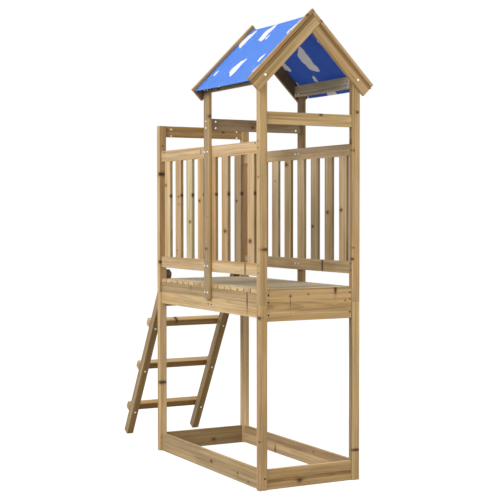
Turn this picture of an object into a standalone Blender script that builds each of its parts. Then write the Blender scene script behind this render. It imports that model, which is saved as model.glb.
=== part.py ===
"""Wooden play tower: four spliced posts, a slatted deck, two side railings, a cloth gable roof and a ladder.

Metres, +Z up. X runs across the narrow side, Y along the long side from the roofed front to the ladder.
The origin is on the floor, in the middle of the tower's whole footprint with its ladder and eaves.
"""

import math

import bmesh
import bpy
from mathutils import Matrix, Vector

# Stock that the tower is cut from
GAP = 0.0003
POST_WIDTH = 0.041
POST_DEPTH = 0.030
POST_ROUNDING = 0.004
BOARD_WIDTH = 0.056
BOARD_THICKNESS = 0.016
BOARD_ROUNDING = 0.002
SLAT_WIDTH = 0.064
SLAT_THICKNESS = 0.0155
LADDER_STOCK_WIDTH = 0.038
LADDER_STOCK_DEPTH = 0.035
STILE_DEPTH = 0.043
LADDER_ROUNDING = 0.003
ROUNDING_STEPS = 2

# Plan of the four corner posts
TOWER_WIDTH = 0.525
TOWER_LENGTH = 1.105

# Heights, each measured from the one before
BASE_BOARD_HEIGHT = 0.091
LOWER_POST_LENGTH = 0.8215
DECK_OVER_SPLICE = 0.0695
LONG_SKIRT_HEIGHT = 0.111
SHORT_SKIRT_HEIGHT = 0.143
RAIL_OVER_DECK = 0.059
RAIL_OPENING = 0.485
BACK_POST_OVER_RAIL = 0.1295
EAVE_OVER_CROSSBAR = 0.1239

# Deck planks and railing slats
PLANK_SPACING = 0.0088
BEARER_HEIGHT = 0.041
SLAT_SPACING = 0.0643
SLAT_MARGIN = 0.0413
SLAT_HOUSING = 0.010

# Roof
ROOF_LENGTH = 0.547
ROOF_PITCH = math.radians(45)
CAP_SIZE = 0.016
CLOTH_THICKNESS = 0.0015
RAFTER_OVERHANG = 0.062
CLOTH_OVERHANG = 0.0455
ROOF_CLEARANCE = 0.008

# Ladder
LADDER_LEAN = math.radians(30)
STILE_OVER_DECK = 0.029
HEEL_OVER_DECK = 0.0095
FIRST_RUNG_DROP = 0.239
RUNG_STEP = 0.2427
RUNG_FLOOR_CLEARANCE = 0.08

PINE = (0.53, 0.36, 0.19, 1.0)
CLOTH_BLUE = (0.10, 0.28, 0.85, 1.0)

# Levels
DECK_HEIGHT = LOWER_POST_LENGTH + DECK_OVER_SPLICE
PLANK_BOTTOM = DECK_HEIGHT - BOARD_THICKNESS
BOTTOM_RAIL_BOTTOM = DECK_HEIGHT + RAIL_OVER_DECK
TOP_RAIL_BOTTOM = BOTTOM_RAIL_BOTTOM + BOARD_WIDTH + RAIL_OPENING
BACK_POST_TOP = TOP_RAIL_BOTTOM + BOARD_WIDTH + BACK_POST_OVER_RAIL
CROSSBAR_BOTTOM = BACK_POST_TOP - BOARD_WIDTH
ROOF_BOARD_BOTTOM = BACK_POST_TOP + EAVE_OVER_CROSSBAR

# Planes that several pieces share
MIDDLE = TOWER_WIDTH / 2
SIDE_SET = (POST_WIDTH - BOARD_THICKNESS) / 2
END_SET = (POST_DEPTH - BOARD_THICKNESS) / 2
BAY_START = POST_DEPTH + GAP
BAY_END = TOWER_LENGTH - POST_DEPTH - GAP
INNER_LEFT = POST_WIDTH + GAP
INNER_RIGHT = TOWER_WIDTH - POST_WIDTH - GAP
MID_POST_FRONT = ROOF_LENGTH - BOARD_WIDTH
MID_POST_MIDDLE = ROOF_LENGTH - BOARD_WIDTH / 2
FRONT_RAFTER_FACE = -BOARD_THICKNESS - GAP
REAR_RAFTER_FACE = ROOF_LENGTH + GAP

# Roof and ladder lines
RAFTER_PEAK = ROOF_BOARD_BOTTOM + BOARD_WIDTH + ROOF_CLEARANCE + (MIDDLE - SIDE_SET) * math.tan(ROOF_PITCH)
LADDER_FACE = TOWER_LENGTH - END_SET + GAP
FOOT_FRONT = LADDER_FACE + (DECK_HEIGHT + HEEL_OVER_DECK) * math.tan(LADDER_LEAN)
FOOT_BACK = FOOT_FRONT + STILE_DEPTH * math.cos(LADDER_LEAN)

# The footprint's middle, which is the origin
ORIGIN_X = MIDDLE
ORIGIN_Y = (FRONT_RAFTER_FACE + FOOT_BACK) / 2


def clear_scene():
    """Remove every object, so that only the tower is left."""
    for item in list(bpy.data.objects):
        bpy.data.objects.remove(item, do_unlink=True)


def finish_material(name, colour, roughness):
    """A Principled material for one piece."""
    material = bpy.data.materials.new(name)
    material.use_nodes = True
    shader = material.node_tree.nodes["Principled BSDF"]
    shader.inputs["Base Color"].default_value = colour
    shader.inputs["Roughness"].default_value = roughness
    shader.inputs["Metallic"].default_value = 0.0
    return material


def prism(outline, axis, start, end):
    """A closed mesh: an outline in the plane across the axis, carried from start to end along it.

    The outline's two coordinates are the other two axes in X, Y, Z order.
    """
    def place(point, along):
        u, v = point
        return {"X": (along, u, v), "Y": (u, along, v), "Z": (u, v, along)}[axis]

    shape = bmesh.new()
    near = [shape.verts.new(place(point, start)) for point in outline]
    far = [shape.verts.new(place(point, end)) for point in outline]
    shape.faces.new(near)
    shape.faces.new(list(reversed(far)))
    count = len(outline)
    for i in range(count):
        j = (i + 1) % count
        shape.faces.new((near[j], near[i], far[i], far[j]))
    return shape


def rounded_outline(low, high, rounding):
    """A rectangle's outline with each corner an arc of ROUNDING_STEPS chords."""
    corners = [
        (high[0] - rounding, high[1] - rounding, 0.0),
        (low[0] + rounding, high[1] - rounding, 0.5 * math.pi),
        (low[0] + rounding, low[1] + rounding, math.pi),
        (high[0] - rounding, low[1] + rounding, 1.5 * math.pi),
    ]
    outline = []
    for centre_u, centre_v, first in corners:
        for step in range(ROUNDING_STEPS + 1):
            angle = first + 0.5 * math.pi * step / ROUNDING_STEPS
            outline.append((centre_u + rounding * math.cos(angle), centre_v + rounding * math.sin(angle)))
    return outline


def bar_shape(low, high, axis, rounding=BOARD_ROUNDING):
    """A straight bar between two corners, its long edges rounded, running along the axis."""
    run = "XYZ".index(axis)
    across = [i for i in range(3) if i != run]
    outline = rounded_outline([low[i] for i in across], [high[i] for i in across], rounding)
    return prism(outline, axis, low[run], high[run])


def saw_off(shape, point, outward):
    """Cut the shape through the point, square to the outward direction, and drop what lies outward of it."""
    everything = shape.verts[:] + shape.edges[:] + shape.faces[:]
    bmesh.ops.bisect_plane(shape, geom=everything, plane_co=point, plane_no=outward, clear_outer=True)
    rim = [edge for edge in shape.edges if edge.is_boundary]
    bmesh.ops.contextual_create(shape, geom=rim)


def add_piece(name, shape, colour=PINE, roughness=0.62):
    """Put a shape into the scene as a named object, in the tower's frame, with its own material."""
    bmesh.ops.recalc_face_normals(shape, faces=shape.faces)
    mesh = bpy.data.meshes.new(name)
    shape.to_mesh(mesh)
    shape.free()
    mesh.materials.append(finish_material(name, colour, roughness))
    piece = bpy.data.objects.new(name, mesh)
    piece.location = (-ORIGIN_X, -ORIGIN_Y, 0.0)
    bpy.context.scene.collection.objects.link(piece)
    return piece


def add_bar(name, low, high, axis, rounding=BOARD_ROUNDING):
    """A straight bar as a piece of its own."""
    return add_piece(name, bar_shape(low, high, axis, rounding))


def fuse(piece, shapes):
    """Join the shapes to the piece with Boolean unions, each shape kept as a hidden cutter."""
    for index, shape in enumerate(shapes):
        cutter = add_piece(f"{piece.name}_part_{index}", shape)
        cutter.hide_render = True
        cutter.display_type = "WIRE"
        union = piece.modifiers.new(cutter.name, "BOOLEAN")
        union.operation = "UNION"
        union.solver = "EXACT"
        union.object = cutter


def sides(low, high):
    """The left box as given, and its mirror image on the right."""
    mirrored = (TOWER_WIDTH - high[0], *low[1:]), (TOWER_WIDTH - low[0], *high[1:])
    return {"left": (low, high), "right": mirrored}


def slope_frame(side):
    """One roof slope as a matrix: X runs down it from the ridge, Y lengthwise, Z square out of the cloth."""
    sign = -1 if side == "left" else 1
    down = Vector((sign * math.cos(ROOF_PITCH), 0.0, -math.sin(ROOF_PITCH)))
    out = Vector((sign * math.sin(ROOF_PITCH), 0.0, math.cos(ROOF_PITCH)))
    frame = Matrix((down, (0.0, 1.0, 0.0), out)).transposed().to_4x4()
    frame.translation = (MIDDLE, 0.0, RAFTER_PEAK)
    return frame


def slope_plane(side, rise):
    """A plane along one slope, so far out from the rafters' upper edges: a point on it and its outward way."""
    frame = slope_frame(side)
    out = frame.col[2].to_3d()
    return frame.translation + rise * out, out


def add_corner_posts():
    """Four posts, each in two lengths that meet end to end behind the skirt; roof-high ones at the front."""
    starts = {"front": 0.0, "back": TOWER_LENGTH - POST_DEPTH}
    for end, start in starts.items():
        low = (0.0, start, 0.0)
        high = (POST_WIDTH, start + POST_DEPTH, LOWER_POST_LENGTH)
        for side, box in sides(low, high).items():
            add_bar(f"post_{end}_{side}_lower", *box, "Z", POST_ROUNDING)
    tops = {"front": RAFTER_PEAK, "back": BACK_POST_TOP}
    for end, start in starts.items():
        low = (0.0, start, LOWER_POST_LENGTH + GAP)
        high = (POST_WIDTH, start + POST_DEPTH, tops[end])
        for side, box in sides(low, high).items():
            shape = bar_shape(*box, "Z", POST_ROUNDING)
            if end == "front":
                saw_off(shape, *slope_plane(side, -ROOF_CLEARANCE * math.cos(ROOF_PITCH)))
            add_piece(f"post_{end}_{side}_upper", shape)


def add_frame_boards(name, long_box, short_box):
    """Four boards between the posts, each in the middle of the posts' thickness, between two levels."""
    low = (SIDE_SET, BAY_START, long_box[0])
    high = (SIDE_SET + BOARD_THICKNESS, BAY_END, long_box[1])
    for side, box in sides(low, high).items():
        add_bar(f"{name}_{side}", *box, "Y")
    add_end_board(f"{name}_front", END_SET, *short_box)
    add_end_board(f"{name}_back", TOWER_LENGTH - END_SET - BOARD_THICKNESS, *short_box)


def add_end_board(name, start, bottom, top):
    """A board across the tower between two posts."""
    add_bar(name, (INNER_LEFT, start, bottom), (INNER_RIGHT, start + BOARD_THICKNESS, top), "X")


def add_deck():
    """Planks across the tower on a bearer under their middles, lying on the long skirt boards."""
    low = (MIDDLE - POST_DEPTH / 2, END_SET + BOARD_THICKNESS + GAP, PLANK_BOTTOM - BEARER_HEIGHT)
    high = (MIDDLE + POST_DEPTH / 2, LADDER_FACE - BOARD_THICKNESS - 2 * GAP, PLANK_BOTTOM + BOARD_ROUNDING)
    deck = add_bar("deck", low, high, "Y")
    pitch = BOARD_WIDTH + PLANK_SPACING
    count = int((BAY_END - BAY_START + PLANK_SPACING) / pitch)
    planks = []
    for index in range(count):
        back = BAY_END - index * pitch
        low = (SIDE_SET, back - BOARD_WIDTH, PLANK_BOTTOM)
        high = (TOWER_WIDTH - SIDE_SET, back, DECK_HEIGHT)
        planks.append(bar_shape(low, high, "X"))
    fuse(deck, planks)


def add_railings():
    """Each long side's railing: two rails with upright slats housed between them."""
    slat_set = SIDE_SET + (BOARD_THICKNESS - SLAT_THICKNESS) / 2
    travel = BAY_END - BAY_START - 2 * SLAT_MARGIN - SLAT_WIDTH
    steps = max(1, round(travel / (SLAT_WIDTH + SLAT_SPACING)))
    bottom_low = (SIDE_SET, BAY_START, BOTTOM_RAIL_BOTTOM)
    bottom_high = (SIDE_SET + BOARD_THICKNESS, BAY_END, BOTTOM_RAIL_BOTTOM + BOARD_WIDTH)
    top_low = (SIDE_SET, BAY_START, TOP_RAIL_BOTTOM)
    top_high = (SIDE_SET + BOARD_THICKNESS, BAY_END, TOP_RAIL_BOTTOM + BOARD_WIDTH)
    for side, box in sides(bottom_low, bottom_high).items():
        railing = add_bar(f"railing_{side}", *box, "Y")
        shapes = []
        for index in range(steps + 1):
            start = BAY_START + SLAT_MARGIN + index * travel / steps
            low = (slat_set, start, bottom_high[2] - SLAT_HOUSING)
            high = (slat_set + SLAT_THICKNESS, start + SLAT_WIDTH, TOP_RAIL_BOTTOM + SLAT_HOUSING)
            shapes.append(bar_shape(*sides(low, high)[side], "Z"))
        shapes.append(bar_shape(*sides(top_low, top_high)[side], "Y"))
        fuse(railing, shapes)


def add_mid_posts():
    """Flat posts bolted outside the railings, which carry the rear of the roof."""
    low = (SIDE_SET - GAP - BOARD_THICKNESS, MID_POST_FRONT, LOWER_POST_LENGTH)
    high = (SIDE_SET - GAP, ROOF_LENGTH, RAFTER_PEAK)
    for side, box in sides(low, high).items():
        shape = bar_shape(*box, "Z")
        saw_off(shape, *slope_plane(side, -ROOF_CLEARANCE * math.cos(ROOF_PITCH)))
        add_piece(f"mid_post_{side}", shape)


def add_crossbars():
    """Bars across the tower, level with the back posts' tops; the middle one spans the middle posts."""
    add_end_board("crossbar_front", END_SET, CROSSBAR_BOTTOM, BACK_POST_TOP)
    add_end_board("crossbar_back", TOWER_LENGTH - END_SET - BOARD_THICKNESS, CROSSBAR_BOTTOM, BACK_POST_TOP)
    low = (SIDE_SET, MID_POST_MIDDLE - BOARD_THICKNESS / 2, CROSSBAR_BOTTOM)
    high = (TOWER_WIDTH - SIDE_SET, MID_POST_MIDDLE + BOARD_THICKNESS / 2, BACK_POST_TOP)
    add_bar("crossbar_middle", low, high, "X")


def add_roof_boards():
    """A board under each eave, from the front post to the rear rafters, inside the middle post."""
    low = (SIDE_SET, BAY_START, ROOF_BOARD_BOTTOM)
    high = (SIDE_SET + BOARD_THICKNESS, ROOF_LENGTH, ROOF_BOARD_BOTTOM + BOARD_WIDTH)
    for side, box in sides(low, high).items():
        add_bar(f"roof_board_{side}", *box, "Y")


def add_slope_bars(name, front, width, bottom, top):
    """Two bars down a gable's slopes: the left one ends level with the right slope, the right butts under it."""
    reach = MIDDLE + RAFTER_OVERHANG
    last = (reach - roof_cap_top() * math.sin(ROOF_PITCH)) / math.cos(ROOF_PITCH)
    stops = {"left": slope_plane("right", top), "right": slope_plane("left", bottom - GAP)}
    for side, stop in stops.items():
        shape = bar_shape((-reach, front, bottom), (last, front + width, top), "X")
        shape.transform(slope_frame(side))
        saw_off(shape, *stop)
        add_piece(f"{name}_{side}", shape)


def roof_cap_top():
    """How far the caps' upper faces are from the rafters' upper edges."""
    return CLOTH_THICKNESS + 2 * GAP + CAP_SIZE


def add_gables():
    """Rafters and cap battens in front of the front posts and behind the middle posts."""
    rear_cap_face = REAR_RAFTER_FACE + BOARD_THICKNESS - CAP_SIZE
    for end, face, cap_face in (
        ("front", FRONT_RAFTER_FACE, FRONT_RAFTER_FACE),
        ("rear", REAR_RAFTER_FACE, rear_cap_face),
    ):
        add_slope_bars(f"rafter_{end}", face, BOARD_THICKNESS, -BOARD_WIDTH, 0.0)
        add_slope_bars(f"roof_cap_{end}", cap_face, CAP_SIZE, roof_cap_top() - CAP_SIZE, roof_cap_top())


def add_roof_cloth():
    """The cloth's two slopes, lying between the rafters' upper edges and the caps, mitred at the ridge."""
    last = (MIDDLE + CLOTH_OVERHANG) / math.cos(ROOF_PITCH)
    start = FRONT_RAFTER_FACE
    stop = REAR_RAFTER_FACE + BOARD_THICKNESS
    top = GAP + CLOTH_THICKNESS
    for side, inward in (("left", 1), ("right", -1)):
        shape = prism([(start, GAP), (stop, GAP), (stop, top), (start, top)], "X", -last, last)
        shape.transform(slope_frame(side))
        saw_off(shape, Vector((MIDDLE - inward * GAP / 2, 0.0, 0.0)), Vector((inward, 0.0, 0.0)))
        add_piece(f"roof_cloth_{side}", shape, CLOTH_BLUE, 0.8)


def ladder_frame():
    """The ladder's plane as a matrix: Y square out of it on the climbing side, Z up along the stiles."""
    frame = Matrix.Rotation(LADDER_LEAN, 4, "X")
    frame.translation = (0.0, FOOT_FRONT, 0.0)
    return frame


def add_ladder():
    """Two leaning stiles, cut upright where they meet the deck's end, with rungs on their climbing side."""
    length = (DECK_HEIGHT + STILE_OVER_DECK) / math.cos(LADDER_LEAN)
    top = Vector((0.0, LADDER_FACE, DECK_HEIGHT + STILE_OVER_DECK))
    along = Vector((0.0, -math.sin(LADDER_LEAN), math.cos(LADDER_LEAN)))
    low = (INNER_LEFT, 0.0, 0.0)
    high = (INNER_LEFT + LADDER_STOCK_WIDTH, STILE_DEPTH, length + STILE_DEPTH)
    for side, box in sides(low, high).items():
        shape = bar_shape(*box, "Z", LADDER_ROUNDING)
        shape.transform(ladder_frame())
        saw_off(shape, top, along)
        saw_off(shape, top, Vector((0.0, -1.0, 0.0)))
        add_piece(f"ladder_stile_{side}", shape)
    highest = DECK_HEIGHT - FIRST_RUNG_DROP
    count = 1 + int((highest - RUNG_FLOOR_CLEARANCE) / RUNG_STEP)
    out = STILE_DEPTH + GAP
    for index in range(count):
        level = highest - index * RUNG_STEP
        reach = (level - out * math.sin(LADDER_LEAN)) / math.cos(LADDER_LEAN)
        low = (INNER_LEFT, out, reach - LADDER_STOCK_WIDTH)
        high = (INNER_RIGHT, out + LADDER_STOCK_DEPTH, reach)
        shape = bar_shape(low, high, "X", LADDER_ROUNDING)
        shape.transform(ladder_frame())
        add_piece(f"ladder_rung_{index + 1}", shape)


def build_tower():
    """Make every piece of the tower."""
    clear_scene()
    add_corner_posts()
    add_frame_boards("base_board", (0.0, BASE_BOARD_HEIGHT), (0.0, BASE_BOARD_HEIGHT))
    long_top = PLANK_BOTTOM - GAP
    long_box = (long_top - LONG_SKIRT_HEIGHT, long_top)
    add_frame_boards("skirt_board", long_box, (DECK_HEIGHT - SHORT_SKIRT_HEIGHT, DECK_HEIGHT))
    add_deck()
    add_railings()
    add_mid_posts()
    add_crossbars()
    add_roof_boards()
    add_gables()
    add_roof_cloth()
    add_ladder()


build_tower()
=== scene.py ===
"""Looks of the wooden play tower: pine with grain, knots and end grain, a printed roof cloth, bolts, screws.

Metres. Places in this file are measured from the tower itself: x from its middle, to the right seen from
the front; y from the front face of the front posts, towards the ladder; z up from the floor.
"""

import math
import random

import bpy
import numpy as np
from mathutils import Matrix, Vector


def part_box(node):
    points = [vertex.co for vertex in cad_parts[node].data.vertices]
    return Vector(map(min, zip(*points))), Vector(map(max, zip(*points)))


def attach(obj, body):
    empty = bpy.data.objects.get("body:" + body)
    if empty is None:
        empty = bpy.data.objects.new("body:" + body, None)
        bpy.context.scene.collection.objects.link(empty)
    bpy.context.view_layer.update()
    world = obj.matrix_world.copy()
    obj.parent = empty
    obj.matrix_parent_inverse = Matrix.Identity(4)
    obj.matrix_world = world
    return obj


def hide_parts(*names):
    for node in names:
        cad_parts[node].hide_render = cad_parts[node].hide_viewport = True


# Camera of the photograph, for a square picture
CAMERA_PLACE = (-2.8832, -4.7997, 1.2304)
CAMERA_YAW = 0.4922
CAMERA_PITCH = -0.0299
CAMERA_ROLL = -0.0007
CAMERA_LENS = 89.72
SENSOR_WIDTH = 36.0
CLIP_END = 100.0

# Floor: half its side, its colour, and how white it looks to the camera
FLOOR_REACH = 14.0
FLOOR_COLOUR = (0.22, 0.215, 0.21, 1.0)
FLOOR_WHITENESS = 0.90
WHITE = (1.0, 1.0, 1.0, 1.0)

# Sky: where its light comes from, and its strength on the far side of that and there
SKY_LIGHT_WAY = (-0.75, -0.10, 0.65)
SKY_STRENGTHS = (0.12, 0.74)

# Lamps: place, target, side of the square, power and colour
LAMPS = {
    "key": ((-5.5, -0.8, 4.2), (0.0, 0.6, 1.1), 3.0, 300.0, (1.0, 1.0, 1.0)),
    "fill": ((0.6, -2.8, 1.3), (0.0, 0.2, 1.0), 2.0, 31.0, (1.0, 0.92, 0.80)),
    "far_side": ((4.4, 2.4, 1.7), (0.0, 0.5, 1.0), 3.0, 110.0, (1.0, 1.0, 1.0)),
}

# Roof cloth: its shape
CLOTH_PEAK = 2.1159
CLOTH_THICKNESS = 0.0010
CLOTH_SAG = 0.0015
CLOTH_RIPPLE = 0.0007
CLAMPED_EDGE = 0.016
RIDGE_ROUNDING = (0.0012, 0.0008)
RIGHT_EAVE_DROP = 0.008
GABLE_INSET = 0.0065
POINTS_ACROSS = 161
POINTS_ALONG = 97

# Roof cloth: its print, hem and weave
SKY_OUTSIDE = (0.054, 0.187, 0.730, 1.0)
# The inside's blue is darker than the outside's: painted shade under the roof, on the same print
SKY_INSIDE_SHADED = (0.018, 0.094, 0.580, 1.0)
CLOUD_WHITE = (0.86, 0.87, 0.88, 1.0)
CLOUD_SPACING = 0.240
HEM_WIDTH = 0.0125
HEM_TINT = (0.86, 0.88, 0.92)
STITCH_LENGTH = 0.0032
STITCH_INSET = 0.0015
STITCH_BLUE = (0.42, 0.52, 0.80, 1.0)
THREAD_PITCH = 0.0009

# The round puffs that make up a cloud: place along it, place across it, and radius
PUFFS = (
    (-0.040, -0.008, 0.017), (-0.020, 0.010, 0.028), (0.008, 0.012, 0.034), (0.032, -0.004, 0.024),
    (0.052, -0.012, 0.012))
CLOUD_FLAT_SIDE = -0.022

# Rows of boards and the levels that part one member of a row from another
LOW_RAIL_TOP = 1.006
TOP_RAIL_BOTTOM = 1.491
PLANK_BOTTOM = 0.875
PLANK_TOP = 0.891
PLANK_COUNT = 16
PLANK_WIDTH = 0.056
PLANK_PITCH = 0.0648
PLANK_LAST_EDGE = 1.0747
SLAT_START = 0.0716
SLAT_WIDTH = 0.064
SLAT_PITCH = 0.12826

# Ladder
LADDER_LEAN = math.radians(30)
LADDER_FOOT = 1.6182
RUNG_OUTER_FACE = 0.0783
RUNG_HALF_HEIGHT = 0.019
RUNG_BOLT_X = 0.2022

# Directions
UP = (0.0, 0.0, 1.0)
TO_RIGHT = (1.0, 0.0, 0.0)
TO_LEFT = (-1.0, 0.0, 0.0)
TO_FRONT = (0.0, -1.0, 0.0)
TO_BACK = (0.0, 1.0, 0.0)
UP_LEFTWARD = (-math.sqrt(0.5), 0.0, math.sqrt(0.5))
UP_RIGHTWARD = (math.sqrt(0.5), 0.0, math.sqrt(0.5))
UP_LADDER = (0.0, -math.sin(LADDER_LEAN), math.cos(LADDER_LEAN))
UNDER_LADDER = (0.0, -math.cos(LADDER_LEAN), -math.sin(LADDER_LEAN))

# For each way that a piece's length can run: Euler angles that turn it onto Z, and its direction
LENGTH_FRAMES = {
    "X": ((0.0, -math.pi / 2, 0.0), TO_RIGHT),
    "Y": ((math.pi / 2, 0.0, 0.0), TO_BACK),
    "Z": ((0.0, 0.0, 0.0), UP),
    "slope_left": ((0.0, -math.pi / 4, 0.0), UP_RIGHTWARD),
    "slope_right": ((0.0, math.pi / 4, 0.0), UP_LEFTWARD),
    "ladder": ((-LADDER_LEAN, 0.0, 0.0), UP_LADDER),
}

# Linear colours of the timber
EARLYWOOD = (0.645, 0.462, 0.265, 1.0)
LATEWOOD = (0.430, 0.275, 0.130, 1.0)
KNOT_HEART = (0.060, 0.036, 0.022, 1.0)
KNOT_RIM = (0.200, 0.115, 0.060, 1.0)
END_GRAIN = (0.86, 0.84, 0.80, 1.0)
PLANK_END_GRAIN = (1.16, 0.95, 0.74, 1.0)

# Tints that the timber's pattern multiplies in
STREAK_TINT = (0.72, 0.67, 0.60)
GREY_TINT = (0.84, 0.86, 0.83)
WARM_TINT = (0.98, 0.93, 0.80)
FIBRE_TINT = (0.80, 0.77, 0.72)
HEARTWOOD_TINT = (0.86, 0.80, 0.70)
SLAT_HEARTWOOD_TINT = (0.90, 0.87, 0.84)
KNOT_TINT = (0.66, 0.52, 0.40)
# Lighter arrises: partly rubbed wear, partly a painted highlight on the rounded edge
RUBBED_AND_HIGHLIGHT_TINT = (1.30, 1.30, 1.30)

# Growth of the timber
RING_WIDTH = 0.0046
LOG_TAPER = 0.012
KNOT_SWELLING = 0.007

# Fasteners' heads: half width, half length and soft edge of a recess as shares of the head's radius, its
# depth as a share of the head's height, how far a head's rim stands over the wood and its underside below
RECESS_HALF_WIDTH = 0.22
RECESS_HALF_LENGTH = 0.62
RECESS_EDGE = 0.12
RECESS_DEPTH = 0.6
RIM_LIFT = 0.00005
UNDERSIDE = -0.0004

# How light, and how yellow or grey, each board is against the usual pine; the boards marked below also carry
# painted shade
TONES = {
    "post_front_left_upper": (1.07, 1.11, 1.12),
    "post_front_left_lower": (1.10, 1.13, 1.16),
    "post_front_right_upper": (1.04, 1.02, 0.96),
    "post_front_right_lower": (1.24, 1.33, 1.33),
    "post_back": (1.08, 1.08, 1.06),
    "mid_post": (0.66, 0.67, 0.68),
    "base_board_left": (0.94, 1.02, 1.10),
    "base_board_front": (1.14, 1.18, 1.14),
    "base_board_right": (1.02, 1.02, 1.00),
    "base_board_back": (0.66, 0.66, 0.60),
    "skirt_board": (1.02, 1.00, 0.94),
    "skirt_board_left": (1.32, 1.44, 1.58),
    "skirt_board_front": (1.02, 0.99, 0.84),
    "railing_left": (1.10, 1.11, 1.12),
    "railing_right": (0.97, 1.03, 1.07),
    "deck": (1.10, 1.34, 1.66),
    "crossbar_front": (1.14, 1.20, 1.12),
    # Painted shade: the middle crossbar lies under the roof
    "crossbar_middle": (0.75, 0.81, 1.02),
    # Painted shade: darker for the weaker light at the back of the tower
    "crossbar_back": (0.66, 0.58, 0.41),
    "roof_board_left": (1.04, 1.17, 1.28),
    "roof_board_right": (0.96, 1.04, 1.14),
    "rafter_front_left": (1.18, 1.26, 1.24),
    "rafter_front_right": (0.93, 0.91, 0.82),
    # Painted shade: the rear rafters lie under the roof
    "rafter_rear": (0.76, 0.72, 0.66),
    "roof_cap": (1.00, 0.98, 0.94),
    "ladder_stile": (0.76, 0.78, 0.80),
    "ladder_rung_1": (1.30, 1.35, 1.32),
    "ladder_rung": (1.14, 1.14, 1.06),
}

# How light each slat is, from the front one to the rear one
SLAT_TONES = {
    "railing_left": (
        (0.93, 0.92, 0.90), (0.62, 0.62, 0.64), (0.91, 0.94, 0.98), (0.95, 0.94, 0.92),
        (1.02, 1.02, 1.02), (1.22, 1.50, 1.86), (0.84, 0.80, 0.76), (1.20, 1.27, 1.33)),
    "railing_right": (
        (1.14, 1.14, 1.14), (0.96, 0.96, 0.96), (0.90, 0.92, 0.96), (1.06, 1.06, 1.06),
        (1.18, 1.20, 1.12), (1.30, 1.36, 1.58), (0.98, 0.96, 0.92), (1.02, 1.01, 0.98)),
}


def side_knot(y, z, radius, faint=0.0):
    """A branch that runs across the tower. The saw cuts most of them askew, so it is wider than high."""
    return (0.0, y, z), (None, 1.6 * radius, radius), faint


def end_knot(x, z, radius, faint=0.0):
    """A branch that runs along the tower, cut less askew."""
    return (x, 0.0, z), (1.25 * radius, None, radius), faint


def mark(x, y, z, radii, faint=0.0):
    """A long knot or stain: its middle and how far it reaches each way; faint weakens it."""
    return (x, y, z), radii, faint


KNOTS = {
    "post_back_left_upper": [side_knot(1.073, 1.429, 0.009), side_knot(1.075, 0.977, 0.008)],
    "post_back_left_lower": [mark(-0.248, 1.075, 0.354, (0.030, 0.020, 0.008))],
    "post_front_left_upper": [
        mark(-0.232, 0.000, 1.068, (0.022, 0.010, 0.0065)),
        mark(-0.262, 0.013, 1.388, (0.005, 0.008, 0.005), 0.3)],
    "post_front_left_lower": [
        mark(-0.263, 0.004, 0.766, (0.009, 0.014, 0.007)),
        mark(-0.263, 0.002, 0.218, (0.008, 0.010, 0.005), 0.2)],
    "post_front_right_upper": [
        mark(0.229, 0.000, 1.515, (0.005, 0.010, 0.007), 0.2),
        mark(0.222, 0.000, 1.018, (0.008, 0.012, 0.006)), end_knot(0.228, 1.070, 0.004, 0.2),
        end_knot(0.248, 1.689, 0.006), mark(0.220, 0.023, 1.556, (0.012, 0.012, 0.010))],
    "post_front_right_lower": [mark(0.245, 0.000, 0.139, (0.030, 0.012, 0.006))],
    "mid_post_left": [
        side_knot(0.522, 1.059, 0.006), side_knot(0.514, 1.212, 0.003, 0.3),
        mark(-0.260, 0.491, 1.686, (0.020, 0.012, 0.007))],
    "skirt_board_left": [
        mark(-0.250, 0.139, 0.834, (0.020, 0.0055, 0.048), 0.1),
        mark(-0.250, 0.727, 0.867, (0.02, 0.007, 0.02), 0.6)],
    "skirt_board_front": [
        end_knot(-0.101, 0.858, 0.0045), mark(-0.101, 0.007, 0.825, (0.0035, 0.02, 0.036), 0.6),
        mark(0.135, 0.007, 0.886, (0.007, 0.02, 0.026)), end_knot(0.188, 0.830, 0.004, 0.3),
        end_knot(-0.008, 0.864, 0.004, 0.3)],
    "base_board_left": [
        side_knot(0.504, 0.045, 0.007), side_knot(0.232, 0.038, 0.005),
        side_knot(0.130, 0.018, 0.004, 0.2)],
    "base_board_front": [mark(-0.053, 0.007, 0.028, (0.014, 0.03, 0.008))],
    "base_board_right": [
        mark(0.234, 0.741, 0.018, (0.02, 0.006, 0.02)), side_knot(0.363, 0.071, 0.004, 0.2)],
    "base_board_back": [end_knot(0.052, 0.030, 0.008)],
    "crossbar_front": [end_knot(0.057, 1.672, 0.007)],
    "crossbar_middle": [end_knot(-0.020, 1.640, 0.006)],
    "crossbar_back": [end_knot(0.110, 1.655, 0.006)],
    "rafter_front_left": [end_knot(0.021, 2.037, 0.008)],
    "roof_cap_front_left": [end_knot(-0.029, 2.110, 0.006)],
    "roof_cap_front_right": [end_knot(0.048, 2.088, 0.006)],
    "roof_board_left": [side_knot(0.422, 1.811, 0.008)],
    "ladder_rung_1": [mark(-0.064, 1.303, 0.663, (0.008, 0.04, 0.02))],
    "ladder_stile_right": [side_knot(1.275, 0.635, 0.005, 0.2)],
    "railing_left": [
        side_knot(1.020, 1.371, 0.006), side_knot(0.866, 1.311, 0.005),
        side_knot(0.866, 1.272, 0.004, 0.2), side_knot(0.735, 1.186, 0.007),
        side_knot(0.628, 1.288, 0.007), side_knot(0.883, 1.041, 0.004, 0.2),
        side_knot(0.356, 1.145, 0.008), side_knot(0.111, 1.103, 0.009), side_knot(0.240, 1.284, 0.005),
        mark(-0.250, 0.611, 1.524, (0.02, 0.0035, 0.011)),
        mark(-0.250, 0.158, 0.978, (0.020, 0.006, 0.042), 0.1)],
    "railing_right": [
        side_knot(0.627, 1.470, 0.008), side_knot(0.235, 1.232, 0.007), side_knot(0.117, 1.243, 0.007),
        side_knot(0.372, 1.164, 0.006), side_knot(0.741, 1.391, 0.004, 0.2),
        mark(0.234, 0.283, 0.978, (0.020, 0.007, 0.042)), side_knot(0.056, 1.488, 0.005)],
}

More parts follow.
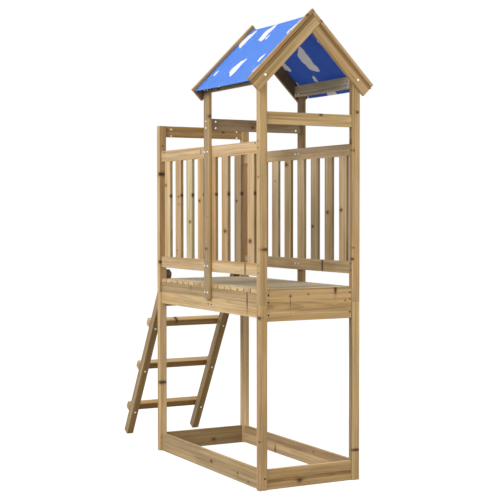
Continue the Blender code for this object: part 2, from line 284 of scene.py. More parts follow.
# A whorl of branches crossed the stick that the left railing's slats were cut from: its level, how far it
# lies in front of each slat's front edge, and its radius
WHORL_LEVEL = 1.317
WHORL_AHEAD = 0.002
WHORL_RADIUS = 0.007

# Bands along a board of another tone, some of them the wood's own and some painted shade as marked: the way
# across the board, from, to, and the tone
BANDS = {
    "skirt_board_left": [(UP, 0.825, 0.900, (0.67, 0.65, 0.61))],
    "skirt_board_front": [(UP, 0.730, 0.790, (1.16, 1.18, 1.22)), (UP, 0.8855, 0.900, (0.70, 0.66, 0.60))],
    "base_board_front": [(UP, 0.030, 0.047, (0.62, 0.58, 0.52))],
    # Painted shade on the upper part of the right base board
    "base_board_right": [(UP, 0.052, 0.100, (0.75, 0.72, 0.70))],
    # Painted shadow of the roof along the right top rail
    "railing_right": [(UP, 1.520, 1.560, (0.80, 0.80, 0.82))],
    "post_front_right_upper": [(TO_RIGHT, 0.2593, 0.2640, (0.66, 0.64, 0.62))],
    # Painted shade on the ladder stiles' tops above the deck
    "ladder_stile_left": [(UP, 0.8930, 1.0000, (0.42, 0.40, 0.38))],
    "ladder_stile_right": [(UP, 0.8930, 1.0000, (0.42, 0.40, 0.38))],
    "rafter_front_left": [
        (UP_LEFTWARD, 1.4801, 1.5100, (0.62, 0.54, 0.46)),
        (UP_LEFTWARD, 1.4640, 1.4668, (0.70, 0.62, 0.52))],
    "rafter_front_right": [(UP_RIGHTWARD, 1.4801, 1.5100, (0.66, 0.58, 0.48))],
}

# Painted light and shade: faces of a piece made lighter or darker for how the light falls on them; the way
# that the face looks, and the tone
FACE_LIGHT_AND_SHADE = {
    # The middle post's front face: painted warm light bounced from the wood
    "mid_post_left": [(TO_FRONT, (1.45, 1.42, 0.98))],
    "post_front_left_upper": [(TO_FRONT, (1.08, 1.07, 1.03)), (TO_LEFT, (1.00, 1.03, 1.06))],
    "post_back": [(TO_FRONT, (0.82, 0.76, 0.68))],
    "post_back_left_lower": [(TO_FRONT, (1.26, 1.28, 1.32))],
    "post_back_right_lower": [(TO_FRONT, (1.20, 1.26, 1.34))],
    "post_front_left_lower": [(TO_LEFT, (0.94, 0.90, 0.90))],
    "post_front_right_upper": [(TO_LEFT, (0.58, 0.55, 0.50))],
    "post_front_right_lower": [(TO_LEFT, (0.56, 0.58, 0.64))],
    # The slats' front edges: painted shade
    "railing": [(TO_FRONT, (0.66, 0.64, 0.58))],
    "rafter_rear": [(TO_FRONT, (0.42, 0.43, 0.48))],
    # The right roof board's inner face: painted bluish light coming through the cloth
    "roof_board_right": [(TO_LEFT, (1.40, 1.72, 2.20))],
    "base_board": [(UP, (1.22, 1.20, 1.18))],
    # Ladder stiles: painted shade on the face under the ladder, and a near-black painted shade on the top
    # end
    "ladder_stile": [(UNDER_LADDER, (0.93, 0.82, 0.54)), (UP_LADDER, (0.34, 0.33, 0.30))],
    "ladder_rung_1": [(UNDER_LADDER, (0.62, 0.52, 0.34))],
    "ladder_rung": [(UNDER_LADDER, (0.50, 0.40, 0.24))],
}


def in_scene(name, data):
    """A new object with this data, linked into the scene."""
    made = bpy.data.objects.new(name, data)
    bpy.context.scene.collection.objects.link(made)
    return made


def empty_web(owner):
    """A web in the emptied node tree of a material or world."""
    owner.use_nodes = True
    owner.node_tree.nodes.clear()
    return Web(owner.node_tree)


def front_face():
    """Where the front posts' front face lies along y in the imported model."""
    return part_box("post_front_left_lower")[0].y


def seat(x, y, z):
    """A place measured from the tower's front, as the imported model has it."""
    return (x, y + front_face(), z)


def camera_axes():
    """The camera's right, up and forward directions from its yaw, pitch and roll."""
    level = math.cos(CAMERA_PITCH)
    forward = np.array([
        math.sin(CAMERA_YAW) * level, math.cos(CAMERA_YAW) * level, math.sin(CAMERA_PITCH)])
    right = np.array([math.cos(CAMERA_YAW), -math.sin(CAMERA_YAW), 0.0])
    up = np.cross(right, forward)
    turned_right = math.cos(CAMERA_ROLL) * right + math.sin(CAMERA_ROLL) * up
    turned_up = math.cos(CAMERA_ROLL) * up - math.sin(CAMERA_ROLL) * right
    return turned_right, turned_up, forward


def add_camera():
    """The camera at the photograph's viewing angle."""
    right, up, forward = camera_axes()
    data = bpy.data.cameras.new("camera")
    data.lens = CAMERA_LENS
    data.sensor_width = SENSOR_WIDTH
    data.clip_end = CLIP_END
    camera = in_scene("camera", data)
    turn = Matrix((right, up, -forward)).transposed()
    camera.matrix_world = Matrix.Translation(seat(*CAMERA_PLACE)) @ turn.to_4x4()
    bpy.context.scene.camera = camera


def seen_share(web):
    """One for rays by which the camera sees the background, straight or by a mirror or glass, else zero."""
    path = web.node("ShaderNodeLightPath")
    seen = web.math("MAXIMUM", path.outputs["Is Camera Ray"], path.outputs["Is Glossy Ray"])
    return web.math("MAXIMUM", seen, path.outputs["Is Transmission Ray"])


def add_floor():
    """A floor that looks white to the camera, keeps a faint shadow and throws little light back up."""
    mesh = bpy.data.meshes.new("floor")
    corners = [(x * FLOOR_REACH, y * FLOOR_REACH, 0.0) for x, y in ((-1, -1), (1, -1), (1, 1), (-1, 1))]
    mesh.from_pydata(corners, [], [(0, 1, 2, 3)])
    floor = in_scene("floor", mesh)
    material = bpy.data.materials.new("floor")
    web = empty_web(material)
    matte = web.node("ShaderNodeBsdfDiffuse", {"Color": FLOOR_COLOUR})
    glow = web.node("ShaderNodeEmission", {"Strength": FLOOR_WHITENESS})
    both = web.node("ShaderNodeAddShader", {0: matte.outputs[0], 1: glow.outputs[0]})
    values = {0: seen_share(web), 1: matte.outputs[0], 2: both.outputs[0]}
    choice = web.node("ShaderNodeMixShader", values)
    web.node("ShaderNodeOutputMaterial", {"Surface": choice.outputs[0]})
    mesh.materials.append(material)


def add_light(name, place, target, size, power, colour):
    """A square area lamp at a place, turned towards a target."""
    data = bpy.data.lights.new(name, "AREA")
    data.size = size
    data.energy = power
    data.color = colour
    lamp = in_scene(name, data)
    lamp.location = seat(*place)
    lamp.rotation_euler = (Vector(target) - Vector(place)).to_track_quat("-Z", "Y").to_euler()


def add_world():
    """A sky that looks white to the camera and lights most from the upper left."""
    world = bpy.data.worlds.new("studio")
    bpy.context.scene.world = world
    web = empty_web(world)
    way = web.node("ShaderNodeTexCoord").outputs["Generated"]
    towards_light = web.vector("DOT_PRODUCT", way, SKY_LIGHT_WAY)
    rise = web.ramp(towards_light, -1.0, 1.0, *SKY_STRENGTHS, "LINEAR")
    strength = web.mix_number(seen_share(web), rise, 1.0)
    background = web.node("ShaderNodeBackground", {"Color": WHITE, "Strength": strength})
    web.node("ShaderNodeOutputWorld", {"Surface": background.outputs[0]})


class Web:
    """Wires shader nodes. Each value given to a method is a socket or a plain number, vector or colour."""

    def __init__(self, tree):
        self.tree = tree

    def feed(self, made, values):
        """Gives a node's inputs, by name or number, their values."""
        for name, value in values.items():
            if isinstance(value, bpy.types.NodeSocket):
                self.tree.links.new(value, made.inputs[name])
            else:
                made.inputs[name].default_value = value

    def node(self, kind, values=None, **settings):
        """A new node with its own settings and its inputs' values."""
        made = self.tree.nodes.new(kind)
        for name, value in settings.items():
            setattr(made, name, value)
        self.feed(made, values or {})
        return made

    def math(self, operation, *values):
        return self.node("ShaderNodeMath", dict(enumerate(values)), operation=operation).outputs[0]

    def plus(self, first, second):
        return self.math("ADD", first, second)

    def minus(self, first, second):
        return self.math("SUBTRACT", first, second)

    def times(self, first, second):
        return self.math("MULTIPLY", first, second)

    def vector(self, operation, *values):
        made = self.node("ShaderNodeVectorMath", dict(enumerate(values)), operation=operation)
        return made.outputs["Value"] if operation in ("LENGTH", "DOT_PRODUCT") else made.outputs["Vector"]

    def scaled(self, value, by):
        made = self.node("ShaderNodeVectorMath", {0: value, "Scale": by}, operation="SCALE")
        return made.outputs["Vector"]

    def turned(self, value, angles):
        made = self.node("ShaderNodeMapping", {"Vector": value, "Rotation": angles}, vector_type="POINT")
        return made.outputs["Vector"]

    def split(self, value):
        return tuple(self.node("ShaderNodeSeparateXYZ", {0: value}).outputs)

    def join(self, x, y, z):
        return self.node("ShaderNodeCombineXYZ", {0: x, 1: y, 2: z}).outputs[0]

    def ramp(self, value, low, high, at_low=0.0, at_high=1.0, kind="SMOOTHSTEP"):
        values = dict(enumerate((value, low, high, at_low, at_high)))
        return self.node("ShaderNodeMapRange", values, interpolation_type=kind).outputs["Result"]

    def noise(self, place, scale=1.0, detail=2.0, roughness=0.5):
        values = {"Vector": place, "Scale": scale, "Detail": detail, "Roughness": roughness}
        return self.node("ShaderNodeTexNoise", values).outputs["Fac"]

    def jitter(self, place, scale, reach):
        """A noise vector about zero, each part at most half the reach."""
        made = self.node("ShaderNodeTexNoise", {"Vector": place, "Scale": scale})
        return self.scaled(self.vector("SUBTRACT", made.outputs["Color"], (0.5, 0.5, 0.5)), reach)

    def mix_number(self, share, first, second):
        return self.node("ShaderNodeMix", {0: share, 2: first, 3: second}, data_type="FLOAT").outputs[0]

    def mix_vector(self, share, first, second):
        return self.node("ShaderNodeMix", {0: share, 4: first, 5: second}, data_type="VECTOR").outputs[1]

    def mix_colour(self, share, first, second, mode="MIX"):
        values = {0: share, 6: first, 7: second}
        return self.node("ShaderNodeMix", values, data_type="RGBA", blend_type=mode).outputs[2]

    def tinted(self, share, colour, tint):
        """A colour multiplied by a tint, as far as the share says. The tint is three numbers or a socket."""
        if isinstance(tint, tuple):
            tint = tint + (1.0,)
        return self.mix_colour(share, colour, tint, "MULTIPLY")

    def dice(self, number, salt):
        """A random value and a random colour for each number, the same each time for the same salt."""
        values = {"W": self.plus(number, salt)}
        made = self.node("ShaderNodeTexWhiteNoise", values, noise_dimensions="1D")
        return made.outputs["Value"], made.outputs["Color"]

    def bump(self, height, strength, distance):
        """A surface direction that follows a height."""
        values = {"Strength": strength, "Distance": distance, "Height": height}
        return self.node("ShaderNodeBump", values).outputs["Normal"]

    def one_of(self, number, colours):
        """The colour with this number in a list, by a ramp of flat steps."""
        share = self.math("DIVIDE", self.plus(number, 0.5), float(len(colours)))
        made = self.node("ShaderNodeValToRGB", {0: share})
        steps = made.color_ramp
        steps.interpolation = "CONSTANT"
        for index, colour in enumerate(colours):
            place = index / len(colours)
            step = steps.elements[index] if index < 2 else steps.elements.new(place)
            step.position = place
            step.color = colour + (1.0,)
        return made.outputs["Color"]


def new_material(name):
    """An empty material with its Principled shader joined to the output."""
    material = bpy.data.materials.new(name)
    web = empty_web(material)
    shader = web.node("ShaderNodeBsdfPrincipled")
    web.node("ShaderNodeOutputMaterial", {"Surface": shader.outputs[0]})
    return material, web, shader


def recoloured(colour, factors):
    """A colour with red, green and blue each multiplied by a factor."""
    return tuple(part * factor for part, factor in zip(colour, factors)) + (1.0,)


def tower_place(web):
    """A surface point measured from the tower's front."""
    place = web.node("ShaderNodeTexCoord").outputs["Object"]
    return web.vector("SUBTRACT", place, (0.0, front_face(), 0.0))


def pine_group():
    """Pine as a solid pattern, in a piece's own frame with its length along Z.

    Growth rings are circles about the pith: the distance from a wavy, slightly tapering line, plus a
    swelling round knots, divided by the ring width. Its fraction rises slowly through earlywood and darkens
    to a thin latewood line. Streaks and fibres are noise stretched along the length, and broad zones are
    greyed or warmer. Within the heart radius the wood is browner. End grain, where the surface faces along
    the length, has a tone of its own, and the arrises are lighter, partly as rubbed wear and partly as a
    painted highlight.
    """
    group = bpy.data.node_groups.new("pine", "ShaderNodeTree")
    for in_out, kind, names in (
        ("INPUT", "Vector", ("Place", "Pith")), ("INPUT", "Color", ("Tone", "End tone")),
        ("INPUT", "Float", ("Heart", "Knots", "End", "Arris")),
        ("OUTPUT", "Color", ("Colour",)), ("OUTPUT", "Float", ("Height", "Roughness")),
    ):
        for name in names:
            group.interface.new_socket(name, in_out=in_out, socket_type="NodeSocket" + kind)
    web = Web(group)
    given = web.node("NodeGroupInput").outputs
    place = given["Place"]
    knots = given["Knots"]

    slow = web.jitter(web.vector("MULTIPLY", place, (9.0, 9.0, 1.5)), 1.0, 0.018)
    quick = web.jitter(web.vector("MULTIPLY", place, (34.0, 34.0, 5.0)), 1.0, 0.004)
    bent = web.vector("ADD", web.vector("ADD", place, slow), quick)
    x, y, z = web.split(web.vector("SUBTRACT", bent, given["Pith"]))
    across = web.vector("LENGTH", web.join(x, y, 0.0))
    tapered = web.plus(across, web.times(z, LOG_TAPER))
    swelling = web.times(web.ramp(knots, 1.0, 3.4, 1.0, 0.0), KNOT_SWELLING)
    radius = web.plus(tapered, swelling)

    growth = web.noise(web.join(web.times(radius, 75.0), 0.0, 0.0), detail=1.0)
    rings = web.plus(web.math("DIVIDE", radius, RING_WIDTH), web.times(growth, 2.4))
    phase = web.math("FRACT", rings)
    late = web.times(web.ramp(phase, 0.35, 0.86), web.ramp(phase, 0.90, 1.0, 1.0, 0.0))
    streaks = web.noise(web.vector("MULTIPLY", place, (70.0, 70.0, 1.6)), detail=3.0, roughness=0.6)
    fibres = web.noise(web.vector("MULTIPLY", place, (520.0, 520.0, 14.0)), detail=2.0, roughness=0.6)
    zones = web.noise(web.vector("MULTIPLY", place, (16.0, 16.0, 3.2)), detail=2.0)
    warmth = web.noise(web.vector("MULTIPLY", web.vector("ADD", place, (7.0, 3.0, 5.0)), (22.0, 22.0, 2.2)))

    ring_depth = web.ramp(streaks, 0.3, 0.7, 0.25, 0.75)
    colour = web.mix_colour(web.times(late, ring_depth), EARLYWOOD, LATEWOOD)
    colour = web.tinted(web.ramp(streaks, 0.34, 0.66, 0.0, 0.9), colour, STREAK_TINT)
    colour = web.tinted(web.ramp(zones, 0.42, 0.64, 0.0, 0.85), colour, GREY_TINT)
    colour = web.tinted(web.ramp(warmth, 0.45, 0.66, 0.0, 0.85), colour, WARM_TINT)
    colour = web.tinted(web.ramp(fibres, 0.35, 0.75, 0.0, 0.55), colour, FIBRE_TINT)
    inside = web.minus(given["Heart"], radius)
    colour = web.tinted(web.ramp(inside, -0.004, 0.004, 0.0, 0.85), colour, HEARTWOOD_TINT)
    colour = web.tinted(1.0, colour, given["Tone"])

    rim = web.ramp(knots, 0.80, 1.25, 0.95, 0.0)
    colour = web.tinted(web.ramp(knots, 1.0, 2.4, 0.70, 0.0), colour, KNOT_TINT)
    colour = web.mix_colour(rim, colour, KNOT_RIM)
    colour = web.mix_colour(web.ramp(knots, 0.50, 0.98, 0.92, 0.0), colour, KNOT_HEART)
    colour = web.tinted(given["End"], colour, given["End tone"])
    # Arrises lighter: partly rubbed wear, partly a painted highlight on the rounded edge
    rubbed_and_lit = web.times(given["Arris"], web.ramp(streaks, 0.3, 0.6, 0.65, 0.15))
    colour = web.tinted(rubbed_and_lit, colour, RUBBED_AND_HIGHLIGHT_TINT)

    height = web.plus(web.times(late, 0.5), web.times(fibres, 0.8))
    height = web.minus(height, web.times(rim, 0.6))
    roughness = web.plus(0.56, web.times(fibres, 0.16))
    web.node("NodeGroupOutput", {"Colour": colour, "Height": height, "Roughness": roughness})
    return group


def knot_distance(web, place, knots):
    """How far a point is from the nearest knot, as a multiple of that knot's radius; 9 where there is none.

    A branch along one axis leaves that axis out of the distance, and noise makes its outline uneven. A
    faint knot counts as further away than it is.
    """
    moved = web.vector("ADD", place, web.jitter(place, 90.0, 0.005))
    nearest = 9.0
    for centre, radii, faint in knots:
        weights = tuple(0.0 if radius is None else 1.0 / radius for radius in radii)
        apart = web.vector("MULTIPLY", web.vector("SUBTRACT", moved, centre), weights)
        distance = web.plus(web.vector("LENGTH", apart), faint)
        nearest = web.math("MINIMUM", nearest, distance)
    return nearest


def own_frame(web, place, way, centre):
    """A point in the piece's own frame: its length turned onto Z, with its middle at the origin."""
    return web.turned(web.vector("SUBTRACT", place, centre), LENGTH_FRAMES[way][0])


def member_number(web, position, start, pitch):
    """Which member of a row a point belongs to, counted from 0 at the start."""
    return web.math("FLOOR", web.math("DIVIDE", web.minus(position, start), pitch))


def member_shift(web, number, salt):
    """A random shift of the pattern for each member of a row, so that no two are cut from the same wood."""
    value, colour = web.dice(number, salt)
    centred = web.vector("SUBTRACT", colour, (0.5, 0.5, 0.5))
    return web.vector("MULTIPLY", centred, (0.060, 0.060, 3.0)), value


def slat_heartwood(web, y, z, number, salt):
    """One on a slat's darker heartwood, from a random part of its width to its rear edge, else zero."""
    value, _ = web.dice(number, salt)
    start = web.times(web.ramp(value, 0.0, 1.0, 0.30, 1.25, "LINEAR"), SLAT_WIDTH)
    front_edge = web.times(number, SLAT_PITCH)
    from_edge = web.minus(web.minus(y, SLAT_START), front_edge)
    grain = web.join(web.times(number, 3.7), web.times(z, 6.0), 0.0)
    waver = web.times(web.noise(grain, detail=1.0), 0.014)
    return web.ramp(web.plus(web.minus(from_edge, start), waver), 0.004, 0.010)


def entry_of(table, name, otherwise=None):
    """The entry of a table with the longest key that a node's name starts with."""
    starts = [start for start in table if name.startswith(start)]
    return table[max(starts, key=len)] if starts else otherwise


def way_of(name):
    """Which way a node's length runs."""
    if name.startswith(("post", "mid_post")):
        return "Z"
    if name.startswith(("rafter", "roof_cap")):
        return "slope_left" if name.endswith("left") else "slope_right"
    if name.startswith("ladder_stile"):
        return "ladder"
    if name.startswith(("crossbar", "ladder_rung")) or name.endswith(("front", "back")):
        return "X"
    return "Y"


def pith_of(name, chance):
    """Where the log's middle lies from a piece's middle, in the piece's own frame.

    Boards are flat-sawn, so it lies off their flat face and near the middle of their width.
    """
    off_face = chance.choice((-1, 1)) * chance.uniform(0.018, 0.050)
    off_middle = chance.uniform(-0.016, 0.016)
    if name.startswith(("post", "ladder")):
        return (off_face, chance.choice((-1, 1)) * chance.uniform(0.015, 0.045), 0.0)
    if way_of(name) in ("Y", "Z") or name == "deck":
        return (off_face, off_middle, 0.0)
    return (off_middle, off_face, 0.0)


def end_share(web, facing, along):
    """One where a surface is end grain, else zero."""
    return web.ramp(web.math("ABSOLUTE", web.vector("DOT_PRODUCT", facing, along)), 0.75, 0.95)


def arris_share(web, facing, way):
    """One on the rounded edges of a piece, where the surface faces between two of its flat sides."""
    x, y, z = web.split(web.vector("ABSOLUTE", web.turned(facing, LENGTH_FRAMES[way][0])))
    flattest = web.math("MAXIMUM", x, web.math("MAXIMUM", y, z))
    return web.ramp(flattest, 0.82, 0.97, 1.0, 0.0)


def painted_face_light(web, colour, facing, tones):
    """A colour times each face's tone where the surface looks that face's way: painted light and shade by
    the side that a surface faces.
    """
    for way, tone in tones:
        share = web.ramp(web.vector("DOT_PRODUCT", facing, way), 0.80, 0.95)
        colour = web.tinted(share, colour, tone)
    return colour


def band_tones(web, colour, place, own, bands):
    """A colour times each band's tone between two levels, whose borders waver along the grain."""
    if not bands:
        return colour
    waver = web.noise(web.vector("MULTIPLY", own, (30.0, 30.0, 7.0)), detail=2.0)
    drift = web.times(web.minus(waver, 0.5), 0.010)
    for way, start, stop, tone in bands:
        level = web.plus(web.vector("DOT_PRODUCT", place, way), drift)
        rise = web.ramp(level, start - 0.0012, start + 0.0012)
        fall = web.ramp(level, stop - 0.0012, stop + 0.0012, 1.0, 0.0)
        colour = web.tinted(web.times(rise, fall), colour, tone)
    return colour


def cut_slats(web, name, place, centre, chance, wood):
    """Cuts a railing's slats each from its own upright wood, and gives their tone; the rails keep theirs."""
    _, y, z = web.split(place)
    above_low_rail = web.math("GREATER_THAN", z, LOW_RAIL_TOP)
    slat = web.times(above_low_rail, web.math("LESS_THAN", z, TOP_RAIL_BOTTOM))
    half_gap = (SLAT_PITCH - SLAT_WIDTH) / 2
    number = member_number(web, y, SLAT_START - half_gap, SLAT_PITCH)
    shift, _ = member_shift(web, number, chance.uniform(0, 50))
    upright = web.vector("ADD", own_frame(web, place, "Z", centre), shift)
    heartwood = slat_heartwood(web, y, z, number, chance.uniform(0, 50))
    slat_tone = web.tinted(heartwood, web.one_of(number, SLAT_TONES[name]), SLAT_HEARTWOOD_TINT)
    own = web.mix_vector(slat, wood["Place"], upright)
    top_rail = web.math("GREATER_THAN", z, TOP_RAIL_BOTTOM)
    wood["Place"] = web.vector("ADD", own, web.join(0.0, 0.0, web.times(top_rail, 1.7)))
    wood["End"] = web.mix_number(slat, wood["End"], 0.0)
    if name == "railing_left":
        edge = web.plus(SLAT_START - WHORL_AHEAD, web.times(number, SLAT_PITCH))
        aside = web.minus(y, edge)
        above = web.minus(z, WHORL_LEVEL)
        uneven = web.split(web.jitter(place, 60.0, 0.010))[0]
        whorl = web.plus(web.vector("LENGTH", web.join(aside, above, 0.0)), uneven)
        wood["Knots"] = web.math("MINIMUM", wood["Knots"], web.math("DIVIDE", whorl, WHORL_RADIUS))
    return web.mix_colour(slat, WHITE, slat_tone)


def cut_planks(web, place, facing, centre, wood):
    """Cuts each plank from its own crosswise wood, and gives its tone; the bearer keeps its wood."""
    _, y, z = web.split(place)
    number = member_number(web, y, PLANK_LAST_EDGE - PLANK_COUNT * PLANK_PITCH, PLANK_PITCH)
    shift, value = member_shift(web, number, 3.0)
    plank = web.math("GREATER_THAN", z, PLANK_BOTTOM - 0.0004)
    crosswise = web.vector("ADD", own_frame(web, place, "X", centre), shift)
    wood["Place"] = web.mix_vector(plank, wood["Place"], crosswise)
    wood["End"] = web.mix_number(plank, wood["End"], end_share(web, facing, TO_RIGHT))
    wood["End tone"] = PLANK_END_GRAIN
    lightness = web.ramp(value, 0.0, 1.0, 0.86, 1.08, "LINEAR")
    return web.join(lightness, lightness, lightness)


def pine_material(name, group):
    """Pine for one node, cut from its own place in a log."""
    chance = random.Random(name)
    material, web, shader = new_material("pine_" + name)
    place = tower_place(web)
    facing = web.node("ShaderNodeNewGeometry").outputs["Normal"]
    low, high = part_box(name)
    middle = (low + high) / 2
    centre = (middle.x, middle.y - front_face(), middle.z)
    way = way_of(name)
    wood = {
        "Place": own_frame(web, place, way, centre),
        "Tone": entry_of(TONES, name) + (1.0,),
        "Knots": knot_distance(web, place, KNOTS.get(name, [])),
        "End": end_share(web, facing, LENGTH_FRAMES[way][1]),
        "End tone": END_GRAIN,
        "Arris": arris_share(web, facing, way),
    }
    member_tone = WHITE
    if name.startswith("railing"):
        member_tone = cut_slats(web, name, place, centre, chance, wood)
    if name == "deck":
        member_tone = cut_planks(web, place, facing, centre, wood)
    own = wood["Place"]
    wood["Place"] = web.vector("ADD", own, (0.0, 0.0, chance.uniform(-30.0, 30.0)))
    wood["Pith"] = pith_of(name, chance)
    wood["Heart"] = chance.uniform(0.0, 0.026)
    pine = web.node("ShaderNodeGroup", wood, node_tree=group)
    colour = web.mix_colour(1.0, pine.outputs["Colour"], member_tone, "MULTIPLY")
    # Painted light and shade on the faces that are lit more or less
    colour = painted_face_light(web, colour, facing, entry_of(FACE_LIGHT_AND_SHADE, name, []))
    # Bands of another tone, some of them painted shade
    colour = band_tones(web, colour, place, own, BANDS.get(name, []))
    web.feed(shader, {
        "Base Color": colour, "Roughness": pine.outputs["Roughness"], "Specular IOR Level": 0.35,
        "Normal": web.bump(pine.outputs["Height"], 0.35, 0.0006)})
    return material


def cloud_distance(web, flat, spacing, start, smallest, largest):
    """How far a point of the cloth is outside the nearest printed cloud, below zero inside it.

    The plane is split into jittered cells. Each cell's cloud is a row of round puffs about the cell's
    point, cut flat along one long side, as large as the cell's random number says. Its long axis runs up
    the slope.
    """
    moved = web.vector("ADD", flat, start)
    values = {"Vector": moved, "Scale": 1.0 / spacing, "Randomness": 0.5}
    cells = web.node("ShaderNodeTexVoronoi", values, voronoi_dimensions="2D", feature="F1")
    chance = web.split(cells.outputs["Color"])
    offset = web.vector("SUBTRACT", moved, cells.outputs["Position"])
    size = web.ramp(chance[0], 0.0, 1.0, smallest, largest, "LINEAR")
    side = web.minus(web.times(web.math("GREATER_THAN", chance[1], 0.5), 2.0), 1.0)
    along, across, _ = web.split(offset)
    along = web.math("DIVIDE", along, web.times(size, side))
    across = web.math("DIVIDE", across, size)
    nearest = 1.0
    for middle, lift, radius in PUFFS:
        apart = web.join(web.minus(along, middle), web.minus(across, lift), 0.0)
        nearest = web.math("MINIMUM", nearest, web.minus(web.vector("LENGTH", apart), radius))
    nearest = web.math("MAXIMUM", nearest, web.minus(CLOUD_FLAT_SIDE, across))
    return web.times(nearest, size)


def hem_distance(web, flat, half_length, width):
    """How far a point of the cloth is from the nearest eave or gable, and its place along that side."""
    arc, y, _ = web.split(flat)
    from_eave = web.minus(half_length, web.math("ABSOLUTE", arc))
    from_gable = web.math("MINIMUM", y, web.minus(width, y))
    eave_nearer = web.math("LESS_THAN", from_eave, from_gable)
    return web.math("MINIMUM", from_eave, from_gable), web.mix_number(eave_nearer, arc, y)


def cloud_print(web, flat, sky):
    """A generic print: ragged white clouds, large and small, on blue, both a little uneven."""
    ragged = web.vector("ADD", web.jitter(flat, 38.0, 0.016), web.jitter(flat, 110.0, 0.005))
    loose = web.vector("ADD", flat, ragged)
    large = cloud_distance(web, loose, CLOUD_SPACING, (0.37, 0.21, 0.0), 0.70, 1.30)
    small = cloud_distance(web, loose, CLOUD_SPACING * 0.88, (4.13, 2.68, 0.0), 0.25, 0.65)
    share = web.ramp(web.math("MINIMUM", large, small), -0.0008, 0.0008, 1.0, 0.0)
    faded = web.ramp(web.noise(flat, scale=7.0, detail=3.0), 0.35, 0.7, 0.0, 0.45)
    blue = web.mix_colour(faded, sky, recoloured(sky, (0.80, 0.85, 0.94)))
    soft = web.ramp(web.noise(flat, scale=26.0, detail=2.0), 0.45, 0.68, 0.0, 0.7)
    white = web.mix_colour(soft, CLOUD_WHITE, recoloured(CLOUD_WHITE, (0.86, 0.91, 0.96)))
    return web.mix_colour(share, blue, white)


def hem_and_stitches(web, flat, half_length, width):
    """One on the hem, and one on the stitches that run in a dashed row inside it, else zero."""
    from_edge, along_edge = hem_distance(web, flat, half_length, width)
    hem = web.ramp(from_edge, HEM_WIDTH - 0.0008, HEM_WIDTH + 0.0008, 1.0, 0.0)
    from_row = web.math("ABSOLUTE", web.minus(from_edge, HEM_WIDTH - STITCH_INSET))
    in_row = web.ramp(from_row, 0.0003, 0.0006, 1.0, 0.0)
    dash = web.math("LESS_THAN", web.math("FRACT", web.math("DIVIDE", along_edge, STITCH_LENGTH)), 0.7)
    return hem, web.times(in_row, dash)


def cloth_material(name, sky, half_length, width):
    """Woven cloth with its print, hemmed all round with a row of stitches."""
    material, web, shader = new_material(name)
    flat = web.node("ShaderNodeUVMap", uv_map="cut").outputs["UV"]
    hem, stitch = hem_and_stitches(web, flat, half_length, width)
    colour = web.mix_colour(web.times(stitch, 0.8), cloud_print(web, flat, sky), STITCH_BLUE)
    colour = web.tinted(web.times(hem, 0.5), colour, HEM_TINT)
    u, v, _ = web.split(flat)
    warp = web.math("SINE", web.times(u, 2.0 * math.pi / THREAD_PITCH))
    weft = web.math("SINE", web.times(v, 2.0 * math.pi / THREAD_PITCH))
    weave = web.times(warp, weft)
    crease = web.noise(web.vector("MULTIPLY", flat, (9.0, 26.0, 1.0)), detail=3.0)
    raised = web.times(weave, 0.15)
    for share, height in ((hem, 0.9), (stitch, 0.7), (crease, 4.0)):
        raised = web.plus(raised, web.times(share, height))
    web.feed(shader, {
        "Base Color": colour, "Roughness": web.plus(0.72, web.times(weave, 0.06)),
        "Normal": web.bump(raised, 0.45, 0.0008), "Specular IOR Level": 0.25, "Sheen Weight": 0.12,
        "Subsurface Weight": 0.6, "Subsurface Radius": (1.0, 1.0, 1.0), "Subsurface Scale": 0.006})
    return material


def metal_material(name, colour, metallic, roughness, gloss):
    """Steel, bright or blackened, with faint mottling."""
    material, web, shader = new_material(name)
    place = web.node("ShaderNodeTexCoord").outputs["Object"]
    mottle = web.noise(place, scale=420.0, detail=3.0)
    dull = recoloured(colour, (0.72, 0.72, 0.72))
    web.feed(shader, {
        "Base Color": web.mix_colour(web.ramp(mottle, 0.35, 0.7, 0.0, 0.6), colour, dull),
        "Roughness": web.ramp(mottle, 0.3, 0.7, roughness, roughness + 0.15, "LINEAR"),
        "Metallic": metallic, "Specular IOR Level": gloss})
    return material


def grid_faces(rows, columns, closed=False):
    """Squares between neighbours of a grid of rows by columns, joined round the columns if it is closed."""
    steps = columns if closed else columns - 1
    row, column = np.meshgrid(np.arange(rows - 1), np.arange(steps), indexing="ij")
    following = (column + 1) % columns
    corners = np.stack([
        row * columns + column, row * columns + following,
        (row + 1) * columns + following, (row + 1) * columns + column], axis=-1)
    return corners.reshape(-1, 4)


def mesh_piece(name, points, faces, materials):
    """A mesh from an array of points and lists of faces, in the scene as a piece that rides the tower."""
    mesh = bpy.data.meshes.new(name)
    mesh.from_pydata(points.reshape(-1, 3).tolist(), [], faces)
    mesh.update()
    mesh.polygons.foreach_set("use_smooth", np.ones(len(mesh.polygons), dtype=bool))
    for material in materials:
        mesh.materials.append(material)
    item = in_scene(name, mesh)
    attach(item, "root")
    return item


